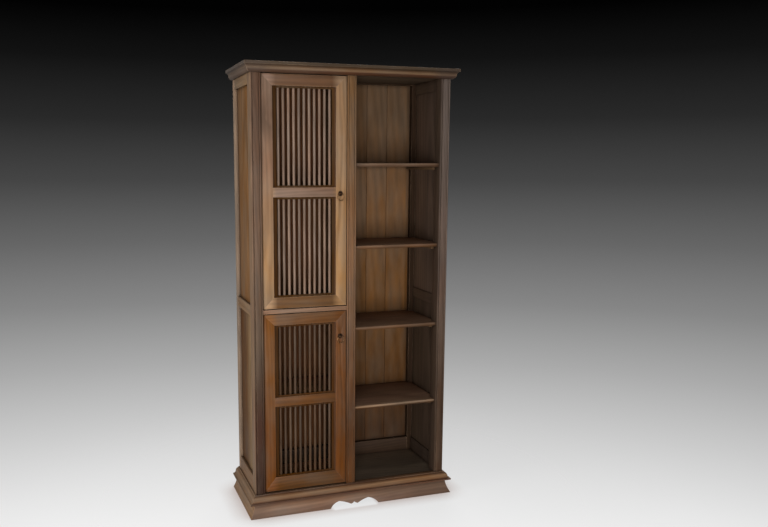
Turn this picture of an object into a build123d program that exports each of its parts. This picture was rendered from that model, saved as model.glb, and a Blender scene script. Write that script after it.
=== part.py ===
from build123d import *
import os

# Chinese book cabinet of solid wood, in millimetres.
# X runs along the front, Y from front to back, Z up. The origin is on the floor, in the middle of the
# rectangle that the foot and cornice cover. The front faces -Y, and the door bay is on the -X side.

os.makedirs("parts", exist_ok=True)

# ---------------------------------------------------------------- driving dimensions
total_height = 2000.0
body_width = 926.0            # across the outer faces of the corner posts
body_depth = 368.0            # from the face of the front posts to the back of the rear posts
moulding_overhang = 32.0      # cornice, lip and foot stand out this far in front and at both sides

moulding_edge = 6.0           # thickness of cornice and base moulding at their thin edges

cornice_height = 43.0
cornice_fillet_height = 12.0  # square edge at the top
cornice_fillet_step = 1.5     # overhang of that edge over the cove under it
cornice_cove_height = 11.0
cornice_cove_hollow = 1.2
cornice_band_reach = 19.0     # convex band under the cove
cornice_band_step = 1.0
cornice_band_bulge = 4.5

base_moulding_height = 38.0
base_fillet_height = 4.0      # square edge at the top
ovolo_reach = 19.0            # convex part under it
ovolo_bulge = 3.9
lip_cove_height = 11.0
lip_cove_hollow = 3.5
lip_height = 7.0

plinth_height = 64.0
plinth_head = 9.0             # thickness of the foot at its top
plinth_toe = 1.0              # foot stops this far inside the lip above it
plinth_hollow = 4.0

post_width = 44.0
front_post_depth = 62.0
rear_post_depth = 40.0
post_top_drop = 8.0           # posts and top rails stop this far under the cornice's top edge
centre_post_width = 42.0
centre_post_depth = 40.0
bead_radius = 4.0
quirk_width = 2.5             # V-groove beside a bead
left_bay_width = 388.0

side_rail_thickness = 26.0
side_top_rail_reach = 44.0    # visible height under the cornice
side_middle_rail_height = 48.0
side_middle_rail_level = 912.0
bottom_rail_level = 50.0      # underside of all four bottom rails
side_bottom_rail_reach = 66.0 # visible height above the base moulding
front_rail_thickness = 30.0
rear_rail_thickness = 26.0
tenon_thickness = 8.0
tenon_length = 18.0
tenon_shoulder = 6.0
joint_clearance = 0.1         # glued joints, on each side

panel_thickness = 8.0
panel_recess = 12.0           # panel face behind the face of its frame
groove_depth = 8.0
groove_play = 1.0             # left free at the bottom of a panel groove

board_thickness = 18.0        # top, floor and divider boards
ceiling_lip = 6.0             # top rails reach this far under the top board
partition_thickness = 20.0
housing_depth = 5.0           # divider board let into the partition
back_board_thickness = 10.0
back_board_width = 105.0
back_board_joint = -16.0      # x of the joint from which the boards are set out
back_board_gap = 0.6
back_board_bevel = 1.5
back_board_inset = 4.0        # back boards lie this far inside the back of the rear posts
back_rebate = 10.0            # width of the rebate for them in the rear posts
back_board_lap = 10.0         # rail left uncovered above and below the back boards

shelf_thickness = 16.0
right_shelf_1_top = 463.0
right_shelf_2_top = 838.0
right_shelf_3_top = 1213.0
right_shelf_4_top = 1582.0
shelf_setback = 15.0          # right-hand shelves, behind the post face
shelf_rounding = 4.0
shelf_play = 1.0
cupboard_shelf_setback = 42.0 # shelves behind the doors
cleat_size = 14.0
cleat_setback = 50.0
cleat_rear_gap = 6.0

divider_level = 926.0         # underside of the rail between the doors
divider_recess = 4.0          # its face behind the post face

door_recess = 6.0             # door face behind the post face
door_thickness = 22.0
pivot_side_gap = 2.0
closing_side_gap = 3.0
door_top_gap = 3.0
door_divider_gap = 4.0
door_bottom_gap = 5.0
stile_width = 49.0
upper_top_rail = 48.0
upper_middle_rail = 41.0
upper_middle_rail_centre = 1456.0
upper_bottom_rail = 49.0
lower_top_rail = 49.0
lower_middle_rail = 42.0
lower_middle_rail_centre = 523.0
lower_bottom_rail = 64.0
door_tenon_thickness = 7.0
door_tenon_inset = 8.0        # tenons stop this far from the rail's edges
mitre_tenon_end = 22.0        # from the door's outer edge to the end of a corner tenon

spindle_diameter = 12.0
spindle_pitch = 23.2
spindle_count = 11
spindle_tenon = 6.0           # its ends are square tenons of this width
spindle_seat = 8.0            # and this length

pivot_diameter = 10.0
pivot_embedded = 34.0
pivot_reach = 6.0             # length that turns in the socket
pivot_end_gap = 1.0
running_clearance = 0.08

stop_width = 12.0
stop_clearance = 0.5          # between a closed door and its stop
stop_end_gap = 3.0

pull_inset = 28.0             # pull centre from the closing edge of the door
upper_pull_level = 1449.0
lower_pull_level = 807.0
rosette_diameter = 22.0
rosette_thickness = 1.5
boss_diameter = 15.0
boss_height = 5.0
eye_distance = 9.0            # ring wire from the door face
eye_radius = 5.0
eye_thickness = 5.0
eye_hole_radius = 2.3
shank_diameter = 5.0
ring_radius = 15.5            # to the middle of the wire
ring_wire = 3.0
ring_wire_faces = 8           # its round section is drawn with this many sides

apron_half_width = 118.0      # scalloped cut in the foot's lower edge
apron_lobe_centre = 71.0
apron_lobe_height = 26.5
apron_lobe_outer_bulge = 5.5
apron_lobe_inner_bulge = 2.0
apron_cusp_centre = 17.0
apron_cusp_height = 9.5
apron_peak_height = 17.0
apron_peak_hollow = 1.6

# ---------------------------------------------------------------- places worked out from them
half_width = body_width / 2
front_face = moulding_overhang - (body_depth + moulding_overhang) / 2
back_face = front_face + body_depth
floor_top = plinth_height + base_moulding_height
opening_top = total_height - cornice_height
post_top = total_height - post_top_drop

left_bay = (post_width - half_width, post_width - half_width + left_bay_width)
right_bay = (left_bay[1] + centre_post_width, half_width - post_width)
centre_post_back = front_face + centre_post_depth
front_post_back = front_face + front_post_depth
rear_post_front = back_face - rear_post_depth

side_rail_inner = half_width - side_rail_thickness
panel_x = (half_width - panel_recess - panel_thickness, half_width - panel_recess)
side_top_rail = (opening_top - side_top_rail_reach, post_top)
side_middle_rail = (side_middle_rail_level, side_middle_rail_level + side_middle_rail_height)
side_bottom_rail = (bottom_rail_level, floor_top + side_bottom_rail_reach)

front_rail_y = (front_face, front_face + front_rail_thickness)
back_boards_front = back_face - back_board_inset - back_board_thickness
rear_rail_y = (back_boards_front - rear_rail_thickness, back_boards_front)
divider_top = divider_level + board_thickness
divider_rail_y = (front_face + divider_recess, front_face + front_rail_thickness + divider_recess)
top_board_z = (opening_top + ceiling_lip, opening_top + ceiling_lip + board_thickness)
floor_board_z = (floor_top - board_thickness, floor_top)
partition_x = (right_bay[0] - partition_thickness, right_bay[0])

door_front = front_face + door_recess
door_back = door_front + door_thickness
door_x = (left_bay[0] + pivot_side_gap, left_bay[1] - closing_side_gap)
door_middle = (door_x[0] + door_x[1]) / 2
pivot_x = door_x[0] + door_thickness / 2
pivot_y = door_front + door_thickness / 2
pull_x = door_x[1] - pull_inset


# ---------------------------------------------------------------- shared operations
def keep(piece, name):
    """Label a finished piece and write it to its own file."""
    piece.part.label = name
    export_step(piece.part, f"parts/{name}.step")


def block(x, y, z, mode=Mode.ADD):
    """A square-edged block between the given pairs of x, y and z."""
    with Locations(((x[0] + x[1]) / 2, (y[0] + y[1]) / 2, (z[0] + z[1]) / 2)):
        Box(x[1] - x[0], y[1] - y[0], z[1] - z[0], mode=mode)


def grown(span, amount):
    """A pair of values moved apart by amount at both ends."""
    return (span[0] - amount, span[1] + amount)


def middle(span, size):
    """A pair of values, size apart, in the middle of a span."""
    centre = (span[0] + span[1]) / 2
    return (centre - size / 2, centre + size / 2)


def mirrored(span):
    """A pair of x values on the other side of the middle plane."""
    return (-span[1], -span[0])


class Rail:
    """A carcass rail between two uprights, with a tenon at each end that its mortises are cut to."""

    def __init__(self, x, y, z, along):
        self.spans = {"x": x, "y": y, "z": z}
        self.along = along
        across = {"x": "y", "y": "x", "z": "y"}[along]
        broad = ({"x", "y", "z"} - {along, across}).pop()
        self.tenon = dict(self.spans)
        self.tenon[across] = middle(self.spans[across], tenon_thickness)
        self.tenon[broad] = grown(self.spans[broad], -tenon_shoulder)
        self.tenon[along] = grown(self.spans[along], tenon_length)

    def solid(self):
        block(**self.spans)
        block(**self.tenon)

    def mortise(self):
        """Cut the tenon's place, a little wider, out of the upright that is being made."""
        hole = {side: grown(span, joint_clearance) for side, span in self.tenon.items()}
        block(**hole, mode=Mode.SUBTRACT)


side_rail_y = (front_post_back, rear_post_front)
left_rail_x = (-half_width, -side_rail_inner)
between_posts = (left_bay[0], right_bay[1])

side_rails = {"top": side_top_rail, "middle": side_middle_rail, "bottom": side_bottom_rail}
left_rails = {level: Rail(left_rail_x, side_rail_y, z, "y") for level, z in side_rails.items()}
right_rails = {level: Rail(mirrored(left_rail_x), side_rail_y, z, "y") for level, z in side_rails.items()}
front_top_rail = Rail(between_posts, front_rail_y, (opening_top, post_top), "x")
front_bottom_rail = Rail(between_posts, front_rail_y, (bottom_rail_level, floor_top), "x")
rear_top_rail = Rail(between_posts, rear_rail_y, (opening_top, post_top), "x")
rear_bottom_rail = Rail(between_posts, rear_rail_y, side_bottom_rail, "x")
divider_rail = Rail(left_bay, divider_rail_y, (divider_level, divider_top), "x")
centre_stub = Rail((left_bay[1], right_bay[0]), front_rail_y, (floor_top, opening_top), "z")


# ---------------------------------------------------------------- posts
def front_bead_outline(x0, x1, y1):
    """Plan of a post whose front corners are half-round beads, each beside a V-groove."""
    bead = 2 * bead_radius
    crown = front_face + bead_radius
    with BuildSketch() as outline:
        with BuildLine():
            CenterArc((x0 + bead_radius, crown), bead_radius, 180, 180)
            Polyline(
                (x0 + bead, crown),
                (x0 + bead + quirk_width, front_face),
                (x1 - bead - quirk_width, front_face),
                (x1 - bead, crown),
            )
            CenterArc((x1 - bead_radius, crown), bead_radius, 180, 180)
            Polyline((x1, crown), (x1, y1), (x0, y1), (x0, crown))
        make_face()
    return outline.sketch


def panel_groove_in_post(side, y):
    """Upright groove for the side panels, from the bottom rail to the top rail."""
    x = panel_x if side > 0 else mirrored(panel_x)
    z = (side_bottom_rail[1] - groove_depth, side_top_rail[0] + groove_depth)
    block(x, y, z, mode=Mode.SUBTRACT)


def front_post(name, side, rails):
    x = (-half_width, left_bay[0]) if side < 0 else (right_bay[1], half_width)
    with BuildPart() as post:
        with BuildSketch():
            add(front_bead_outline(*x, front_post_back))
        extrude(amount=post_top)
        panel_groove_in_post(side, (front_post_back - groove_depth, front_post_back))
        for rail in rails:
            rail.mortise()
    keep(post, name)


def rear_post(name, side, rails):
    x = (-half_width, left_bay[0])
    bead = 2 * bead_radius
    quirk_end = back_face - bead - quirk_width
    rebate = (left_bay[0] - back_rebate, left_bay[0])
    with BuildPart() as post:
        with BuildSketch():
            with BuildLine():
                CenterArc((x[0] + bead_radius, back_face - bead_radius), bead_radius, 90, 180)
                Polyline(
                    (x[0] + bead_radius, back_face - bead),
                    (x[0], quirk_end),
                    (x[0], rear_post_front),
                    (x[1], rear_post_front),
                    (x[1], back_boards_front),
                    (rebate[0], back_boards_front),
                    (rebate[0], back_face),
                    (x[0] + bead_radius, back_face),
                )
            make_face()
            if side > 0:
                mirror(about=Plane.YZ, mode=Mode.REPLACE)
        extrude(amount=post_top)
        panel_groove_in_post(side, (rear_post_front, rear_post_front + groove_depth))
        for rail in rails:
            rail.mortise()
    keep(post, name)


front_rails = [front_top_rail, front_bottom_rail]
rear_rails = [rear_top_rail, rear_bottom_rail]
front_post("front_left_post", -1, [*left_rails.values(), *front_rails, divider_rail])
front_post("front_right_post", 1, [*right_rails.values(), *front_rails])
rear_post("rear_left_post", -1, [*left_rails.values(), *rear_rails])
rear_post("rear_right_post", 1, [*right_rails.values(), *rear_rails])

with BuildPart() as centre_post:
    with BuildSketch(Plane.XY.offset(floor_top)):
        add(front_bead_outline(left_bay[1], right_bay[0], centre_post_back))
    extrude(amount=opening_top - floor_top)
    block(**centre_stub.tenon)
    divider_rail.mortise()
keep(centre_post, "centre_post")

# ---------------------------------------------------------------- side rails and panels
for side, rails in (("left", left_rails), ("right", right_rails)):
    groove_x = panel_x if side == "right" else mirrored(panel_x)
    board_x = (side_rail_inner, side_rail_inner + groove_depth)
    board_x = board_x if side == "right" else mirrored(board_x)
    for level, rail in rails.items():
        z = side_rails[level]
        with BuildPart() as side_rail:
            rail.solid()
            if level != "bottom":
                block(groove_x, rail.tenon["y"], (z[0], z[0] + groove_depth), mode=Mode.SUBTRACT)
            if level != "top":
                block(groove_x, rail.tenon["y"], (z[1] - groove_depth, z[1]), mode=Mode.SUBTRACT)
            if level == "top":
                block(board_x, side_rail_y, top_board_z, mode=Mode.SUBTRACT)
        keep(side_rail, f"{side}_{level}_rail")

    tongue = groove_depth - groove_play
    heights = {
        "upper": (side_middle_rail[1], side_top_rail[0]),
        "lower": (side_bottom_rail[1], side_middle_rail[0]),
    }
    for level, z in heights.items():
        with BuildPart() as panel:
            x = grown(groove_x, -joint_clearance)
            block(x, grown(side_rail_y, tongue), grown(z, tongue))
        keep(panel, f"{side}_{level}_panel")


# ---------------------------------------------------------------- front and rear rails
def pivot_socket(level, upwards):
    """Blind hole for a door pivot, from the given level up or down into the rail."""
    depth = pivot_reach + pivot_end_gap
    with BuildSketch(Plane.XY.offset(level)) as hole:
        with Locations((pivot_x, pivot_y)):
            Circle(pivot_diameter / 2 + running_clearance)
    extrude(hole.sketch, amount=depth if upwards else -depth, mode=Mode.SUBTRACT)


front_groove = (front_rail_y[1] - groove_depth, front_rail_y[1])
rear_groove = (rear_rail_y[0], rear_rail_y[0] + groove_depth)

with BuildPart() as front_top:
    front_top_rail.solid()
    block(front_top_rail.tenon["x"], front_groove, top_board_z, mode=Mode.SUBTRACT)
    centre_stub.mortise()
    pivot_socket(opening_top, upwards=True)
keep(front_top, "front_top_rail")

with BuildPart() as front_bottom:
    front_bottom_rail.solid()
    block(front_bottom_rail.tenon["x"], front_groove, floor_board_z, mode=Mode.SUBTRACT)
    centre_stub.mortise()
    pivot_socket(floor_top, upwards=False)
keep(front_bottom, "front_bottom_rail")

with BuildPart() as rear_top:
    rear_top_rail.solid()
    block(rear_top_rail.tenon["x"], rear_groove, top_board_z, mode=Mode.SUBTRACT)
keep(rear_top, "rear_top_rail")

with BuildPart() as rear_bottom:
    rear_bottom_rail.solid()
    block(rear_bottom_rail.tenon["x"], rear_groove, floor_board_z, mode=Mode.SUBTRACT)
keep(rear_bottom, "rear_bottom_rail")

with BuildPart() as divider:
    divider_rail.solid()
    pivot_socket(divider_top, upwards=False)
    pivot_socket(divider_level, upwards=True)
keep(divider, "divider_rail")


# ---------------------------------------------------------------- boards
def clear_of_posts(z):
    """Notch the corners of a board where the corner posts stand."""
    reach = half_width
    for x in ((-reach, left_bay[0] + joint_clearance), (right_bay[1] - joint_clearance, reach)):
        block(x, (front_face, front_post_back + joint_clearance), z, mode=Mode.SUBTRACT)
        block(x, (rear_post_front - joint_clearance, back_face), z, mode=Mode.SUBTRACT)


board_y = (front_groove[0] + joint_clearance, rear_groove[1] - joint_clearance)

with BuildPart() as top_board:
    z = grown(top_board_z, -joint_clearance)
    reach = side_rail_inner + groove_depth - groove_play
    block((-reach, reach), board_y, z)
    clear_of_posts(z)
keep(top_board, "top_board")

with BuildPart() as floor_board:
    reach = side_rail_inner - joint_clearance
    block((-reach, reach), board_y, floor_board_z)
    clear_of_posts(floor_board_z)
keep(floor_board, "floor_board")

with BuildPart() as partition:
    y = (centre_post_back, back_boards_front)
    z = (floor_top, top_board_z[0])
    block(partition_x, y, z)
    block(partition_x, rear_rail_y, (floor_top, side_bottom_rail[1]), mode=Mode.SUBTRACT)
    block(partition_x, rear_rail_y, (opening_top, top_board_z[0]), mode=Mode.SUBTRACT)
    housing = (partition_x[0], partition_x[0] + housing_depth)
    block(housing, y, (divider_level, divider_top), mode=Mode.SUBTRACT)
keep(partition, "partition")

with BuildPart() as divider_board:
    x = (-side_rail_inner + joint_clearance, partition_x[0] + housing_depth)
    z = (divider_level, divider_top)
    block(x, (divider_rail_y[1], back_boards_front), z)
    clear_of_posts(z)
    centre_corner = (left_bay[1] - joint_clearance, right_bay[0])
    block(centre_corner, (front_face, centre_post_back), z, mode=Mode.SUBTRACT)
keep(divider_board, "divider_board")

with BuildPart() as back_boards:
    edges = [left_bay[0] - back_rebate, right_bay[1] + back_rebate]
    joint = back_board_joint
    while joint - back_board_width > edges[0]:
        joint -= back_board_width
    joints = [edges[0]]
    while joint < edges[1] - back_board_width / 2:
        joints.append(joint)
        joint += back_board_width
    joints.append(edges[1])
    z = (bottom_rail_level + back_board_lap, post_top - back_board_lap)
    for start, end in zip(joints, joints[1:]):
        front, back = back_boards_front, back_boards_front + back_board_thickness
        with BuildSketch(Plane.XY.offset(z[0])):
            with BuildLine():
                Polyline(
                    (start + back_board_gap / 2, back),
                    (start + back_board_gap / 2, front + back_board_bevel),
                    (start + back_board_gap / 2 + back_board_bevel, front),
                    (end - back_board_gap / 2 - back_board_bevel, front),
                    (end - back_board_gap / 2, front + back_board_bevel),
                    (end - back_board_gap / 2, back),
                    close=True,
                )
            make_face()
        extrude(amount=z[1] - z[0])
keep(back_boards, "back_boards")


# ---------------------------------------------------------------- shelves and their cleats
def shelf(name, x, setback, top):
    z = (top - shelf_thickness, top)
    with BuildPart() as board:
        block(x, (front_face + setback, back_boards_front - shelf_play), z)
        front_edges = board.edges().filter_by(Axis.X).group_by(Axis.Y)[0]
        fillet(front_edges, shelf_rounding)
        clear_of_posts(z)
    keep(board, name)


right_shelf_x = (right_bay[0] + shelf_play, side_rail_inner - shelf_play)
right_shelf_tops = (right_shelf_1_top, right_shelf_2_top, right_shelf_3_top, right_shelf_4_top)
for number, top in enumerate(right_shelf_tops, start=1):
    shelf(f"right_shelf_{number}", right_shelf_x, shelf_setback, top)

left_shelf_x = (-side_rail_inner + shelf_play, partition_x[0] - shelf_play)
cupboard_shelf_tops = {
    "upper_cupboard_shelf": upper_middle_rail_centre + shelf_thickness / 2,
    "lower_cupboard_shelf": lower_middle_rail_centre + shelf_thickness / 2,
}
for name, top in cupboard_shelf_tops.items():
    shelf(name, left_shelf_x, cupboard_shelf_setback, top)

with BuildPart() as shelf_cleats:
    cleat_y = (front_face + cleat_setback, back_boards_front - cleat_rear_gap)
    bays = [(right_bay, right_shelf_tops), ((left_bay[0], partition_x[0]), cupboard_shelf_tops.values())]
    for bay, tops in bays:
        for top in tops:
            z = (top - shelf_thickness - cleat_size, top - shelf_thickness)
            block((bay[0], bay[0] + cleat_size), cleat_y, z)
            block((bay[1] - cleat_size, bay[1]), cleat_y, z)
keep(shelf_cleats, "shelf_cleats")


# ---------------------------------------------------------------- mitred mouldings
def cornice_profile():
    """Square top edge over a cove, over a convex band."""
    reach = moulding_overhang
    cove_top = total_height - cornice_fillet_height
    band_top = cove_top - cornice_cove_height
    band_end = (cornice_band_reach, band_top)
    cove_start = (cornice_band_reach + cornice_band_step, band_top)
    cove_end = (reach - cornice_fillet_step, cove_top)
    with BuildSketch() as profile:
        with BuildLine():
            SagittaArc((moulding_edge, opening_top), band_end, -cornice_band_bulge)
            Line(band_end, cove_start)
            SagittaArc(cove_start, cove_end, cornice_cove_hollow)
            Polyline(
                cove_end,
                (reach, cove_top),
                (reach, total_height),
                (0, total_height),
                (0, opening_top),
                (moulding_edge, opening_top),
            )
        make_face()
    return profile.sketch


def base_moulding_profile():
    """Ovolo at the top, running down through a cove to a sharp lip."""
    lip = (moulding_overhang, plinth_height + lip_height)
    waist = (ovolo_reach, plinth_height + lip_height + lip_cove_height)
    shoulder = (moulding_edge, floor_top - base_fillet_height)
    with BuildSketch() as profile:
        with BuildLine():
            Polyline((0, plinth_height), (moulding_overhang, plinth_height), lip)
            SagittaArc(lip, waist, lip_cove_hollow)
            SagittaArc(waist, shoulder, -ovolo_bulge)
            Polyline(shoulder, (moulding_edge, floor_top), (0, floor_top), (0, plinth_height))
        make_face()
    return profile.sketch


def plinth_profile():
    """Foot that flares outwards to the floor in a shallow cove."""
    toe = (moulding_overhang - plinth_toe, 0)
    head = (plinth_head, plinth_height)
    with BuildSketch() as profile:
        with BuildLine():
            Line((0, 0), toe)
            SagittaArc(toe, head, plinth_hollow)
            Polyline(head, (0, plinth_height), (0, 0))
        make_face()
    return profile.sketch


outer = half_width + moulding_overhang
planes = {
    "front": Plane((outer, front_face, 0), x_dir=(0, -1, 0), z_dir=(-1, 0, 0)),
    "left": Plane((-half_width, front_face - moulding_overhang, 0), x_dir=(-1, 0, 0), z_dir=(0, 1, 0)),
    "right": Plane((half_width, back_face, 0), x_dir=(1, 0, 0), z_dir=(0, -1, 0)),
}
left_mitre = Plane((-half_width, front_face, 0), z_dir=(1, -1, 0))
right_mitre = Plane((half_width, front_face, 0), z_dir=(-1, -1, 0))


def moulding(name, profile, side):
    """One length of moulding on the front, left or right of the posts, mitred at the front corners."""
    with BuildPart() as length:
        with BuildSketch(planes[side]):
            add(profile())
        extrude(amount=2 * outer if side == "front" else body_depth + moulding_overhang)
        if side == "front":
            split(bisect_by=left_mitre, keep=Keep.TOP)
            split(bisect_by=right_mitre, keep=Keep.TOP)
        else:
            split(bisect_by=left_mitre if side == "left" else right_mitre, keep=Keep.BOTTOM)
        if name == "plinth" and side == "front":
            apron_cut()
    keep(length, f"{name}_{side}")


def apron_cut():
    """Two round lobes with a small pointed peak between them, cut through the foot's lower edge."""
    end = (apron_half_width, 0)
    lobe = (apron_lobe_centre, apron_lobe_height)
    cusp = (apron_cusp_centre, apron_cusp_height)
    peak = (0, apron_peak_height)
    with BuildSketch(Plane.XZ.offset(-front_face)) as cut:
        with BuildLine():
            SagittaArc(end, lobe, -apron_lobe_outer_bulge)
            SagittaArc(lobe, cusp, -apron_lobe_inner_bulge)
            SagittaArc(cusp, peak, apron_peak_hollow)
            Polyline(peak, (0, 0), end)
        make_face()
        mirror(about=Plane.YZ)
    extrude(cut.sketch, amount=2 * moulding_overhang, mode=Mode.SUBTRACT)


for side in planes:
    moulding("cornice", cornice_profile, side)
    moulding("base_moulding", base_moulding_profile, side)
    moulding("plinth", plinth_profile, side)


# ---------------------------------------------------------------- doors
def door_edge(bottom, top):
    """Trim a frame piece to the door's plan, whose pivot edge is half-round about the pivot."""
    with BuildSketch(Plane.XY.offset(bottom)) as plan:
        with BuildLine():
            Polyline((pivot_x, door_back), (door_x[1], door_back), (door_x[1], door_front), (pivot_x, door_front))
            CenterArc((pivot_x, pivot_y), door_thickness / 2, 90, 180)
        make_face()
    extrude(plan.sketch, amount=top - bottom, mode=Mode.INTERSECT)


def frame_piece(corners):
    """A piece of door frame with the given outline in x and z."""
    with BuildSketch(Plane.XZ.offset(-door_back)) as outline:
        Polygon(*corners, align=None)
    extrude(outline.sketch, amount=door_thickness)


def spindle_row(level, shape):
    """The plan of one row of spindles, or of their tenons, at the given level."""
    with BuildSketch(Plane.XY.offset(level)) as row:
        with Locations((door_middle, pivot_y)):
            with GridLocations(spindle_pitch, 0, spindle_count, 1):
                add(shape)
    return row.sketch


def spindle_mortises(level, depth):
    """A row of square mortises, cut upwards from the level, or downwards if depth is negative."""
    with BuildSketch(Plane.XY) as mortise:
        Rectangle(spindle_tenon + 2 * joint_clearance, spindle_tenon + 2 * joint_clearance)
    extrude(spindle_row(level, mortise.sketch), amount=depth, mode=Mode.SUBTRACT)


def pin_holes(bottom, top, radius):
    """The two pins' places in the pivot edge, from outside the door to their full depth."""
    for level, depth in ((bottom, pivot_embedded), (top, -pivot_embedded)):
        with BuildSketch(Plane.XY.offset(level)) as hole:
            with Locations((pivot_x, pivot_y)):
                Circle(radius)
        extrude(hole.sketch, amount=depth, mode=Mode.SUBTRACT)


def shank_hole(level):
    """Hole for the shank of the pull, right through the closing stile and any tenon in it."""
    with BuildSketch(Plane.XZ.offset(-door_back)) as hole:
        with Locations((pull_x, level)):
            Circle(shank_diameter / 2 + joint_clearance)
    extrude(hole.sketch, amount=door_thickness, mode=Mode.SUBTRACT)


def door(prefix, bottom, top, rail_heights, middle_centre, gaps, pull_level):
    """A spindle door: mitred frame, tenoned middle rail, two rows of spindles and two pivot pins."""
    top_rail, middle_rail, bottom_rail = rail_heights
    x0, x1 = door_x
    inner = (x0 + stile_width, x1 - stile_width)
    openings = [
        (bottom + bottom_rail, middle_centre - middle_rail / 2),
        (middle_centre + middle_rail / 2, top - top_rail),
    ]
    tenon_y = middle((door_front, door_back), door_tenon_thickness)
    corner_tenon_x = (x0 + mitre_tenon_end, x1 - mitre_tenon_end)
    tenons = [
        (openings[1][1] + door_tenon_inset, top - 2 * door_tenon_inset),
        (openings[0][1] + door_tenon_inset, openings[1][0] - door_tenon_inset),
        (bottom + 2 * door_tenon_inset, openings[0][0] - door_tenon_inset),
    ]

    stiles = {"left": (x0, inner[0]), "right": (x1, inner[1])}
    for side, (edge, inside) in stiles.items():
        with BuildPart() as stile:
            frame_piece([(edge, bottom), (inside, openings[0][0]), (inside, openings[1][1]), (edge, top)])
            door_edge(bottom, top)
            for z in tenons:
                mortise_x = grown(corner_tenon_x, joint_clearance)
                block(mortise_x, grown(tenon_y, joint_clearance), grown(z, joint_clearance), mode=Mode.SUBTRACT)
            if side == "left":
                pin_holes(bottom, top, pivot_diameter / 2 + joint_clearance)
            else:
                shank_hole(pull_level)
        keep(stile, f"{prefix}_{side}_stile")

    edges = {"top": (top, openings[1][1]), "bottom": (bottom, openings[0][0])}
    for level, (edge, inside) in edges.items():
        with BuildPart() as rail:
            frame_piece([(x0, edge), (x1, edge), (inner[1], inside), (inner[0], inside)])
            door_edge(bottom, top)
            block(corner_tenon_x, tenon_y, tenons[0] if level == "top" else tenons[2])
            pin_holes(bottom, top, pivot_diameter / 2 + joint_clearance)
            spindle_mortises(inside, spindle_seat if level == "top" else -spindle_seat)
        keep(rail, f"{prefix}_{level}_rail")

    with BuildPart() as rail:
        block(inner, (door_front, door_back), (openings[0][1], openings[1][0]))
        block(corner_tenon_x, tenon_y, tenons[1])
        shank_hole(pull_level)
        spindle_mortises(openings[1][0], -spindle_seat)
        spindle_mortises(openings[0][1], spindle_seat)
    keep(rail, f"{prefix}_middle_rail")

    with BuildSketch(Plane.XY) as round_bar:
        Circle(spindle_diameter / 2)
    with BuildSketch(Plane.XY) as square_end:
        Rectangle(spindle_tenon, spindle_tenon)
    with BuildPart() as spindles:
        for low, high in openings:
            extrude(spindle_row(low, round_bar.sketch), amount=high - low)
            extrude(spindle_row(low, square_end.sketch), amount=-spindle_seat)
            extrude(spindle_row(high, square_end.sketch), amount=spindle_seat)
    keep(spindles, f"{prefix}_spindles")

    with BuildPart() as pivots:
        ends = ((bottom - gaps[0] - pivot_reach, bottom + pivot_embedded),
                (top - pivot_embedded, top + gaps[1] + pivot_reach))
        for low, high in ends:
            with BuildSketch(Plane.XY.offset(low)):
                with Locations((pivot_x, pivot_y)):
                    Circle(pivot_diameter / 2)
            extrude(amount=high - low)
    keep(pivots, f"{prefix}_pivots")


upper_door_bottom = divider_top + door_divider_gap
upper_door_top = opening_top - door_top_gap
lower_door_bottom = floor_top + door_bottom_gap
lower_door_top = divider_level - door_divider_gap

door(
    "upper_door",
    upper_door_bottom,
    upper_door_top,
    (upper_top_rail, upper_middle_rail, upper_bottom_rail),
    upper_middle_rail_centre,
    (door_divider_gap, door_top_gap),
    upper_pull_level,
)
door(
    "lower_door",
    lower_door_bottom,
    lower_door_top,
    (lower_top_rail, lower_middle_rail, lower_bottom_rail),
    lower_middle_rail_centre,
    (door_bottom_gap, door_divider_gap),
    lower_pull_level,
)

with BuildPart() as door_stops:
    stop_x = (left_bay[1] - stop_width, left_bay[1])
    stop_y = (door_back + stop_clearance, centre_post_back)
    for bottom, top in ((upper_door_bottom, upper_door_top), (lower_door_bottom, lower_door_top)):
        block(stop_x, stop_y, grown((bottom, top), -stop_end_gap))
keep(door_stops, "door_stops")


# ---------------------------------------------------------------- ring pulls
def pull(prefix, level):
    """An eye on a domed rosette, with a shank through the stile, and the ring that hangs in the eye."""
    axis_y = door_front - eye_distance
    with BuildPart() as boss:
        with BuildSketch(Plane.YZ.offset(pull_x)):
            with BuildLine():
                face = door_front
                dome = face - rosette_thickness
                tip = face - boss_height
                Polyline(
                    (tip, level),
                    (door_back, level),
                    (door_back, level + shank_diameter / 2),
                    (face, level + shank_diameter / 2),
                    (face, level + rosette_diameter / 2),
                    (dome, level + rosette_diameter / 2),
                    (dome, level + boss_diameter / 2),
                )
                RadiusArc((dome, level + boss_diameter / 2), (tip, level), boss_diameter)
            make_face()
        revolve(axis=Axis((pull_x, 0, level), (0, 1, 0)))
        with BuildSketch(Plane.YZ.offset(pull_x)):
            with Locations((axis_y, level)):
                Circle(eye_radius)
            with Locations(((axis_y + dome) / 2, level)):
                Rectangle(dome - axis_y, 2 * eye_radius)
        extrude(amount=eye_thickness / 2, both=True)
        with BuildSketch(Plane.YZ.offset(pull_x)):
            with Locations((axis_y, level)):
                Circle(eye_hole_radius)
        extrude(amount=eye_thickness, both=True, mode=Mode.SUBTRACT)
    keep(boss, f"{prefix}_pull_eye")

    with BuildPart() as ring:
        with BuildSketch(Plane.YZ.offset(pull_x)):
            with Locations((axis_y, level)):
                RegularPolygon(ring_wire / 2, ring_wire_faces)
        revolve(axis=Axis((pull_x, axis_y, level - ring_radius), (0, 1, 0)))
    keep(ring, f"{prefix}_ring")


pull("upper", upper_pull_level)
pull("lower", lower_pull_level)
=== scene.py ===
"""A tall east Asian book cabinet of stained elm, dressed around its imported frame."""

import random
from math import radians, sqrt

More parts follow.
